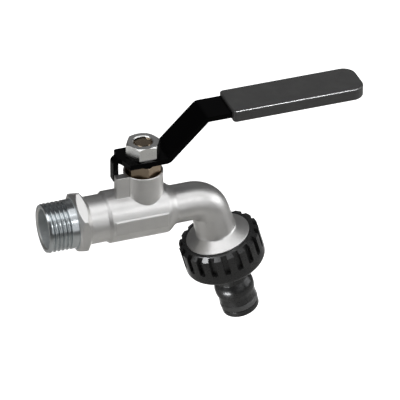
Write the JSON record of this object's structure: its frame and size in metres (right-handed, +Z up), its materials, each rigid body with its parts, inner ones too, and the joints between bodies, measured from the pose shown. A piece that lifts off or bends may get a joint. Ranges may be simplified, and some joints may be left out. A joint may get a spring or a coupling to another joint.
{
  "type": "garden tap",
  "caption": "Lever-operated quarter-turn tap with a threaded inlet, a bent spout and a quick-coupling hose nipple held by a slotted nut.",
  "frame": {"origin": "centre of the inlet's threaded end face, on the body's axis", "axes": "+X along the body's axis from the inlet to the spout, +Y across the body, +Z up along the stem's axis"},
  "size_m": [0.1394, 0.0346, 0.1048],
  "materials": {
    "plated_body": "blasted brass forging with satin nickel plating",
    "bare_brass": "turned brass",
    "white_seal": "smooth white fluoropolymer",
    "polished_ball": "polished chrome plating",
    "black_steel": "glossy black coating on steel sheet",
    "grey_sleeve": "soft dark grey dipped sleeve with a slight sheen",
    "bright_steel": "bright zinc plating",
    "black_plastic": "moulded black plastic with a soft gloss",
    "seal_rubber": "dark grey rubber"
  },
  "bodies": {
    "tap": {"tap_body": "plated_body", "ball_retainer": "bare_brass", "inlet_seat": "white_seal", "outlet_seat": "white_seal", "stem_thrust_washer": "white_seal", "stem_packing": "white_seal", "gland_nut": "bare_brass"},
    "lever_group": {"lever": "black_steel", "lever_grip": "grey_sleeve", "lever_nut": "bright_steel", "stem": "bare_brass", "ball": "polished_ball"},
    "nipple_group": {"nipple": "black_plastic", "nipple_seal": "seal_rubber", "hose_washer": "seal_rubber"},
    "nut_group": {"hose_nut": "black_plastic"}
  },
  "joints": [
    {"name": "lever_turn", "type": "hinge", "parent": "tap", "child": "lever_group", "pos_m": [0.044, 0, 0], "axis": [0, 0, -1], "range_deg": [0, 90]},
    {"name": "nipple_travel", "type": "slide", "parent": "tap", "child": "nipple_group", "axis": [0.2656, 0, -0.9641], "range_m": [0, 0.00726]},
    {"name": "hose_nut_turn", "type": "hinge", "parent": "nipple_group", "child": "nut_group", "pos_m": [0.07164, 0, 0], "axis": [0.2656, 0, -0.9641], "range_deg": [0, 1440]}
  ],
  "couplings": [
    {"joint": "nipple_travel", "follows": "hose_nut_turn", "m_per_rad": 0.00028871}
  ]
}
